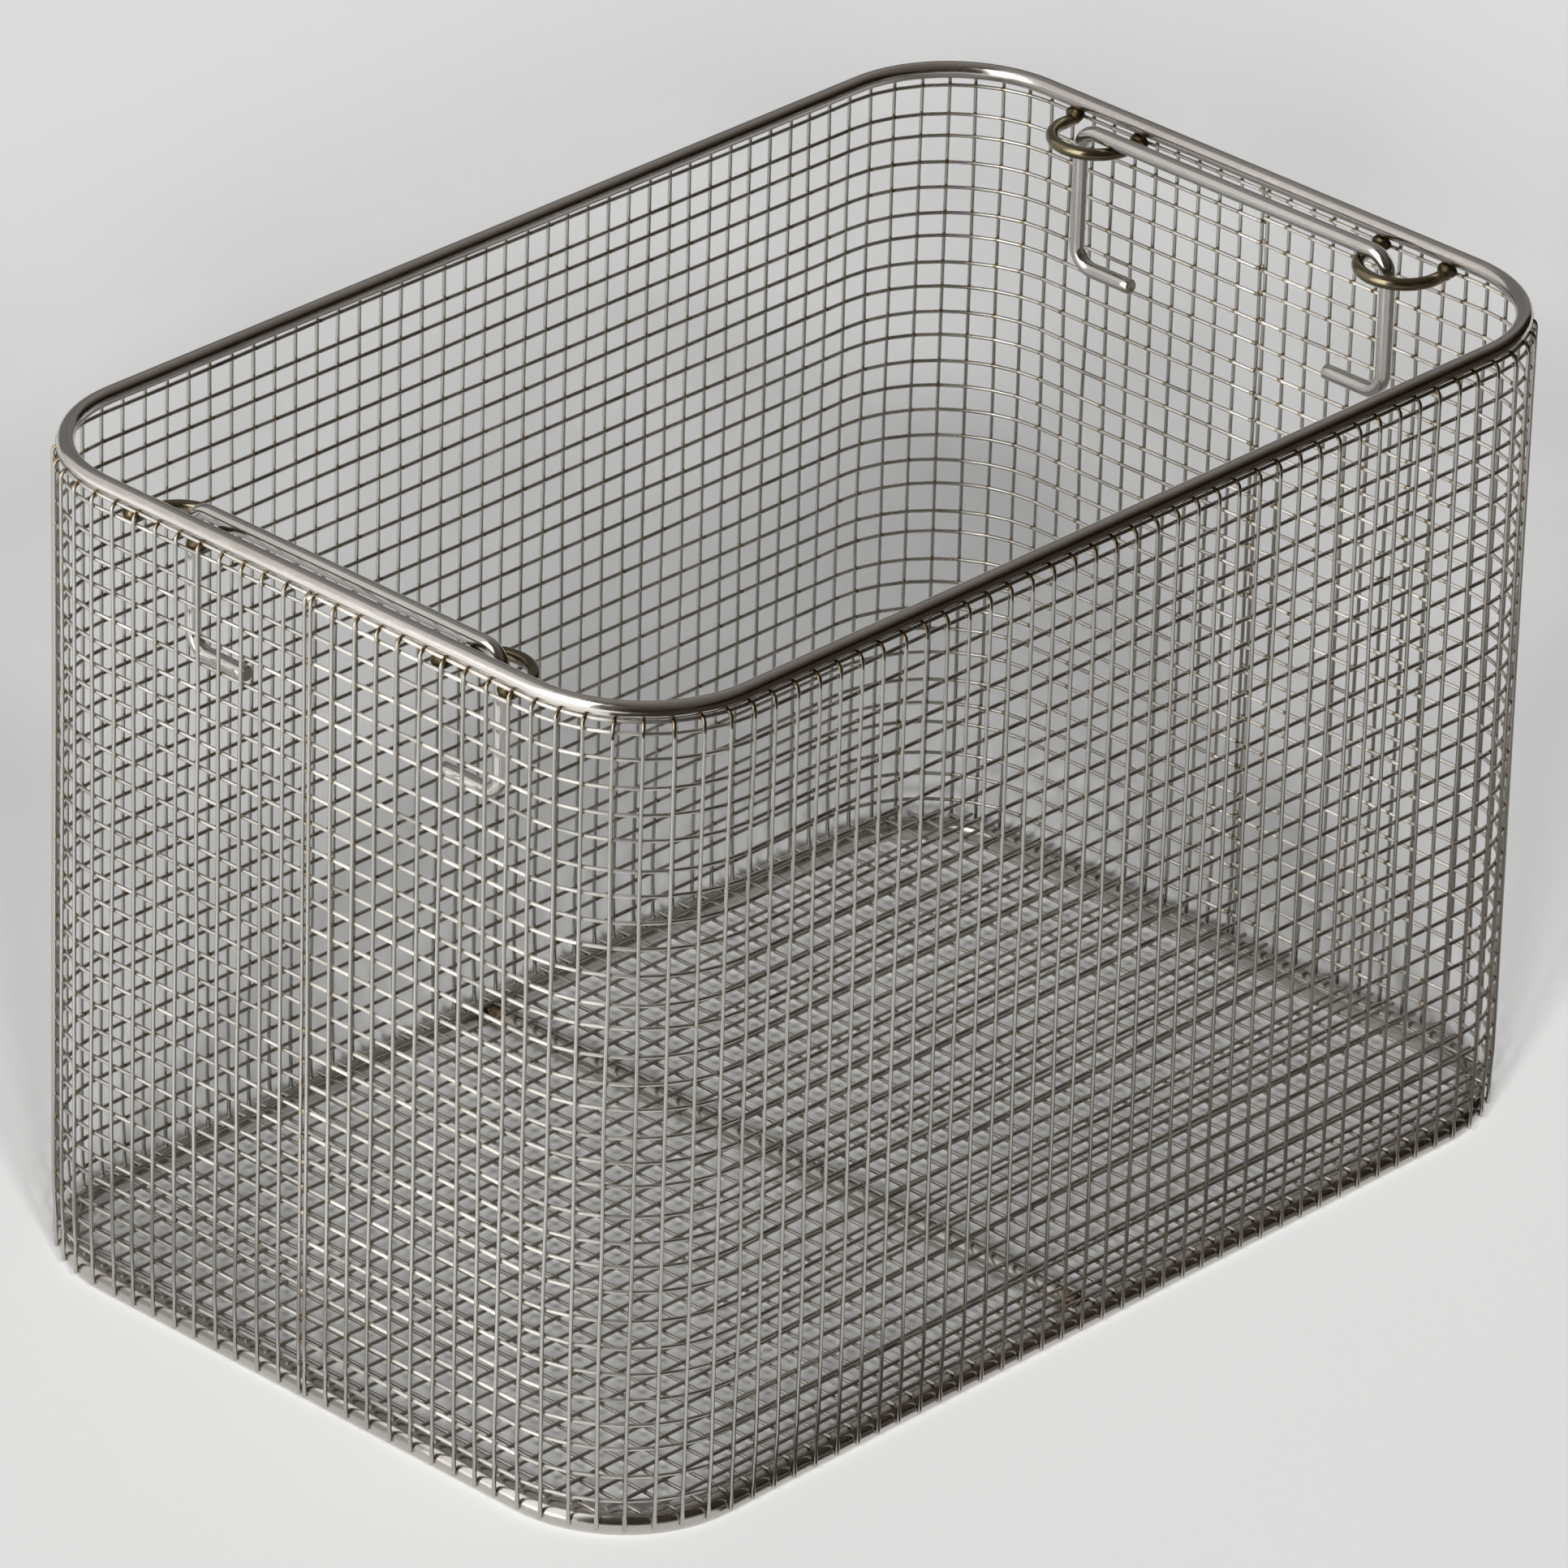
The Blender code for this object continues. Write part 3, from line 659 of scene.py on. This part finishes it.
def handle(side_name, side):
    """A bent wire: a bar, two legs, and feet that point at each other."""
    plan = []

    def bend(centre_y, centre_z, start_angle, steps=12):
        for step in range(steps + 1):
            angle = start_angle - step / steps * math.pi / 2
            plan.append((centre_y + HANDLE_BEND * math.cos(angle),
                         centre_z + HANDLE_BEND * math.sin(angle)))

    def straight(end_y, end_z, steps):
        start_y, start_z = plan[-1]
        for step in range(1, steps):
            share = step / steps
            plan.append((start_y + (end_y - start_y) * share, start_z + (end_z - start_z) * share))

    low = FEET_Z + HANDLE_BEND
    high = BAR_Z - HANDLE_BEND
    near = LEG_Y - HANDLE_BEND
    plan.append((-FOOT_TIP_Y, FEET_Z))
    plan.append((-FOOT_TIP_Y - HANDLE_TIP, FEET_Z))
    straight(-near, FEET_Z, 5)
    bend(-near, low, -math.pi / 2)
    straight(-LEG_Y, high, 8)
    bend(-near, high, math.pi)
    straight(near, BAR_Z, 20)
    bend(near, high, math.pi / 2)
    straight(LEG_Y, low, 8)
    bend(near, low, 0.0)
    straight(FOOT_TIP_Y + HANDLE_TIP, FEET_Z, 5)
    plan.append((FOOT_TIP_Y + HANDLE_TIP, FEET_Z))
    plan.append((FOOT_TIP_Y, FEET_Z))
    plan = np.array(plan)
    radius = np.full(len(plan), HANDLE_R)
    radius[0] = radius[-1] = HANDLE_TIP_RADIUS
    hot = np.zeros(len(plan))
    hot[:2] = hot[-2:] = HANDLE_TIP_HEAT
    points = np.stack((np.full(len(plan), side * HANDLE_X), plan[:, 0], plan[:, 1]), axis=1)
    work = Wirework()
    work.wire(points, radius, np.array((1.0, 0.0, 0.0)), hot, sides=24)
    work.piece("handle_wire_" + side_name, side_name + "_handle", "handle", HANDLE_STEEL,
               "handle_" + side_name)


def handle_loop(end_name, end_side, side_name, y_middle):
    """A U-shaped loop under the rim rod, with weld metal where its arms meet the rod."""
    centre_inset = LOOP_FAR_INSET - LOOP_HALF
    plan = []
    for share in np.linspace(0.0, 1.0, 7)[:-1]:
        plan.append((LOOP_NEAR_INSET + (centre_inset - LOOP_NEAR_INSET) * share, -LOOP_HALF))
    for angle in np.linspace(-math.pi / 2, math.pi / 2, 25):
        plan.append((centre_inset + LOOP_HALF * math.cos(angle), LOOP_HALF * math.sin(angle)))
    for share in np.linspace(1.0, 0.0, 7)[1:]:
        plan.append((LOOP_NEAR_INSET + (centre_inset - LOOP_NEAR_INSET) * share, LOOP_HALF))
    plan = np.array(plan)
    x = end_side * (SIDE_X - plan[:, 0])
    points = np.stack((x, y_middle + plan[:, 1], np.full(len(plan), LOOP_Z)), axis=1)
    near = 1.0 - np.abs(plan[:, 0] - RIM_INSET) / LOOP_HEAT_REACH
    hot = LOOP_HEAT * np.clip(near, LOOP_LEAST_HEAT, 1)
    radius = np.full(len(plan), LOOP_R)
    radius[0] = radius[-1] = LOOP_TIP_RADIUS
    work = Wirework()
    work.wire(points, radius, UP, hot, sides=20)
    for arm in (-1, 1):
        centre = (end_side * (SIDE_X - RIM_INSET), y_middle + arm * LOOP_HALF,
                  LOOP_Z + LOOP_BEAD_RISE)
        work.bead(centre, LOOP_BEAD, weld=LOOP_BEAD_HEAT, sides=16, rings=8)
    node = "handle_loop_" + end_name + "_" + side_name
    work.piece(node + "_wire", "basket", "loop", LOOP_STEEL, node)


closed_rod("rim_rod_round", RIM_INSET, RIM_Z, RIM_R, "rod", RIM_STEEL, "rim_rod")
closed_rod("base_rod_round", BASE_INSET, BASE_Z, BASE_R, "rod", BASE_STEEL, "base_rod")
mesh_sheet("front_mesh_wires", "front_mesh_sheet", False)
mesh_sheet("back_mesh_wires", "back_mesh_sheet", True)
seams()
floor_wires()
brace()
for end_name, end_side in (("left", -1), ("right", 1)):
    handle(end_name, end_side)
    handle_loop(end_name, end_side, "front", -LEG_Y)
    handle_loop(end_name, end_side, "back", LEG_Y)


# Camera, fitted to the mesh crossings, rim and base in the photo
CAMERA_PLACE = Vector((-1.612757, -1.506298, 1.252343))
CAMERA_AIM = Vector((0.64573675, 0.60403515, -0.467082))
CAMERA_ROLL = math.radians(1.677)
CAMERA_LENS = 292.32


def make_camera():
    level = CAMERA_AIM.cross(Vector((0, 0, 1))).normalized()
    upright = level.cross(CAMERA_AIM)
    right = math.cos(CAMERA_ROLL) * level + math.sin(CAMERA_ROLL) * upright
    top = right.cross(CAMERA_AIM)
    data = bpy.data.cameras.new("camera")
    data.lens = CAMERA_LENS
    data.sensor_width = 36.0
    data.clip_end = 200.0
    camera = bpy.data.objects.new("camera", data)
    bpy.context.scene.collection.objects.link(camera)
    matrix = camera.matrix_world.copy()
    for row in range(3):
        matrix[row][0] = right[row]
        matrix[row][1] = top[row]
        matrix[row][2] = -CAMERA_AIM[row]
        matrix[row][3] = CAMERA_PLACE[row]
    camera.matrix_world = matrix
    bpy.context.scene.camera = camera


# Stage: a floor, and suns that turn and rise, in degrees, from the way that the camera looks
FLOOR_RADIUS = 14.0
FLOOR_COLOUR = (0.765, 0.765, 0.76)
KEY_STRENGTH = 6.6
KEY_TURNS = ((-17.0, 4.0), (-9.0, -5.0), (0.0, -6.0), (9.0, -5.0), (17.0, 4.0))
KEY_ANGLE = math.radians(6.0)
FILL = 0.02


def plane(name, corners):
    mesh = bpy.data.meshes.new(name)
    mesh.from_pydata(corners, [], [list(range(len(corners)))])
    shown = bpy.data.objects.new(name, mesh)
    bpy.context.scene.collection.objects.link(shown)
    return shown


def make_floor():
    corners = [(FLOOR_RADIUS * math.cos(step * math.pi / 32),
                FLOOR_RADIUS * math.sin(step * math.pi / 32), 0.0) for step in range(64)]
    floor = plane("floor", corners)
    material = bpy.data.materials.new("floor_paper")
    material.use_nodes = True
    tree = material.node_tree
    shader = tree.nodes["Principled BSDF"]
    where = add(tree, "TexCoord").outputs["Object"]
    mottle = add(tree, "TexNoise", {"Vector": where, "Scale": 3.0, "Detail": 3.0}).outputs[0]
    colour = blended(tree, mottle, (*FLOOR_COLOUR, 1.0),
                     (*[0.985 * part for part in FLOOR_COLOUR], 1.0))
    tree.links.new(colour, shader.inputs["Base Color"])
    shader.inputs["Roughness"].default_value = 0.95
    shader.inputs["Specular IOR Level"].default_value = 0.1
    floor.data.materials.append(material)


def reflection_card(name, corners, colour, strength=1.0, fade=None):
    """A card that only gloss sees: it shapes the reflections and lights nothing.

    A fade is an axis, two places on it, and the strengths there.
    """
    card = plane(name, corners)
    material = bpy.data.materials.new(name)
    material.use_nodes = True
    tree = material.node_tree
    tree.nodes.remove(tree.nodes["Principled BSDF"])
    if fade:
        where = add(tree, "TexCoord").outputs["Object"]
        place = add(tree, "SeparateXYZ", {0: where}).outputs[fade[0]]
        strength = spread(tree, place, *fade[1:])
    glow = add(tree, "Emission", {"Color": (*colour, 1.0), "Strength": strength})
    tree.links.new(glow.outputs[0], tree.nodes["Material Output"].inputs["Surface"])
    material.cycles.emission_sampling = "NONE"
    card.data.materials.append(material)
    card.visible_camera = False
    card.visible_diffuse = False
    card.visible_shadow = False
    card.visible_transmission = False


def make_light():
    level = CAMERA_AIM.cross(Vector((0, 0, 1)))
    for number, (turn, rise) in enumerate(KEY_TURNS):
        name = "key_" + str(number)
        sun = bpy.data.lights.new(name, "SUN")
        sun.energy = KEY_STRENGTH / len(KEY_TURNS)
        sun.angle = KEY_ANGLE
        key = bpy.data.objects.new(name, sun)
        aim = Matrix.Rotation(math.radians(-rise), 3, level) @ CAMERA_AIM
        aim = Matrix.Rotation(math.radians(turn), 3, "Z") @ aim
        key.rotation_euler = aim.to_track_quat("-Z", "Y").to_euler()
        key.visible_glossy = False
        bpy.context.scene.collection.objects.link(key)

    world = bpy.data.worlds.new("studio")
    world.use_nodes = True
    tree = world.node_tree
    rays = add(tree, "LightPath").outputs
    seen = calculate(tree, "MAXIMUM", rays["Is Camera Ray"],
                     calculate(tree, "MAXIMUM", rays["Is Glossy Ray"], rays["Is Transmission Ray"]))
    strength = spread(tree, seen, 0.0, 1.0, FILL, 1.0)
    background = tree.nodes["Background"]
    background.inputs["Color"].default_value = (1.0, 1.0, 1.0, 1.0)
    tree.links.new(strength, background.inputs["Strength"])
    bpy.context.scene.world = world


# What the steel reflects: colours of the cards, and heights of those that lie level
BROWN = (1.0, 0.78, 0.62)
PALE = (1.0, 0.96, 0.92)
DAYLIGHT = (1.0, 0.985, 0.96)
GROUND = 0.001
LEFT_GROUND = 0.0012
UNDER_RIM = 0.171
CEILING = 2.4


def level_card(name, height, plan, colour, strength=1.0, fade=None):
    """A reflection card that lies level at a height."""
    reflection_card(name, [(x, y, height) for x, y in plan], colour, strength, fade)


def upright_card(name, start, end, top, colour, strength=1.0, fade=None):
    """A reflection card that stands on the floor from start to end."""
    corners = [(*start, 0.0), (*start, top), (*end, top), (*end, 0.0)]
    reflection_card(name, corners, colour, strength, fade)


def make_reflections():
    upright_card("front_wall", (1.5, 0.2), (-0.2, -1.6), 1.3, BROWN,
                 fade=("Z", 0.55, 1.35, 0.012, 0.17))
    upright_card("near_wall", (-0.2, -1.6), (-0.95, -0.2), 1.3, BROWN,
                 fade=("Z", 0.40, 1.3, 0.035, 0.12))
    level_card("near_ground", GROUND,
               [(-0.95, -0.42), (1.5, -0.42), (1.5, -1.6), (-0.95, -1.6)], (0.070, 0.052, 0.042))
    # Painted shadow: a dark card along the front foot stands in for the basket's shadow on the
    # floor there, seen only in reflections
    level_card("front_foot_painted_shadow", GROUND,
               [(-0.105, -0.0885), (0.135, -0.0885), (0.15, -0.125), (-0.09, -0.125)],
               (0.070, 0.055, 0.045))
    # Painted shadow: a dim card stands in for the basket's shadow on the front-right floor, seen
    # only in reflections
    level_card("front_ground_painted_shadow", GROUND,
               [(-0.05, -0.0885), (0.6, -0.0885), (0.6, -0.42), (0.11, -0.42)], (0.22, 0.19, 0.17))
    level_card("rim_flag", UNDER_RIM,
               [(-0.1294, -0.0733), (-0.1262, -0.0797), (-0.1155, -0.0865), (-0.104, -0.0885),
                (0.16, -0.0885), (0.50, -0.50), (-0.10, -0.50), (-0.40, -0.21)],
               (0.055, 0.042, 0.034))
    level_card("rim_bounce", UNDER_RIM,
               [(-0.1372, -0.095), (-0.1372, 0.100), (-0.20, 0.140), (-0.50, 0.340),
                (-0.90, 0.585), (-0.90, -0.17)], DAYLIGHT, 1.4)
    level_card("left_ground", LEFT_GROUND,
               [(-0.137, -0.100), (-0.137, 0.076), (-0.20, 0.091), (-0.30, 0.147),
                (-0.50, 0.288), (-0.90, 0.585), (-0.90, -0.19)], DAYLIGHT,
               fade=("X", -0.22, -0.14, 1.2, 0.75))
    upright_card("left_wall", (-0.92, 0.5), (-0.3, 2.6), 1.8, PALE, 0.85)
    reflection_card("left_foot", [(-0.150, -0.020, 0.0), (-0.150, -0.020, 0.020),
                                  (-0.150, 0.075, 0.020), (-0.150, 0.075, 0.0)], PALE, 0.48)
    upright_card("back_wall", (-0.3, 2.6), (2.8, 2.0), CEILING, (0.22, 0.21, 0.205))
    upright_card("right_wall", (2.8, 2.0), (2.0, -0.6), CEILING, PALE, 0.25)
    level_card("ceiling_right", CEILING, [(-0.45, -3.5), (3.5, -3.5), (3.5, 0.9), (-0.45, 0.9)],
               (1.0, 0.90, 0.82), fade=("Y", -2.7, 0.9, 0.07, 0.26))
    level_card("ceiling_back", CEILING, [(-0.45, 0.9), (3.5, 0.9), (3.5, 3.5), (-0.45, 3.5)],
               PALE, 0.33)
    level_card("ceiling_left", CEILING,
               [(-3.5, -0.3), (-1.65, 0.15), (-0.45, 0.58), (-0.45, 3.5), (-3.5, 3.5)], PALE, 0.75)
    level_card("ceiling_near", CEILING,
               [(-3.5, -3.5), (-0.45, -3.5), (-0.45, 0.58), (-1.65, 0.15), (-3.5, -0.3)],
               BROWN, 0.11)
    window = [(0.57, 0.002), (0.618, 0.369), (0.716, 0.644), (0.903, 1.003), (1.25, 1.5),
              (-0.17, 1.5), (-0.17, 0.002)]
    reflection_card("window", [(-0.9, y, z) for y, z in window], DAYLIGHT,
                    fade=("Y", -0.17, 0.57, 5.0, 2.7))


make_camera()
make_floor()
make_reflections()
make_light()
bpy.context.scene.view_settings.view_transform = "Standard"
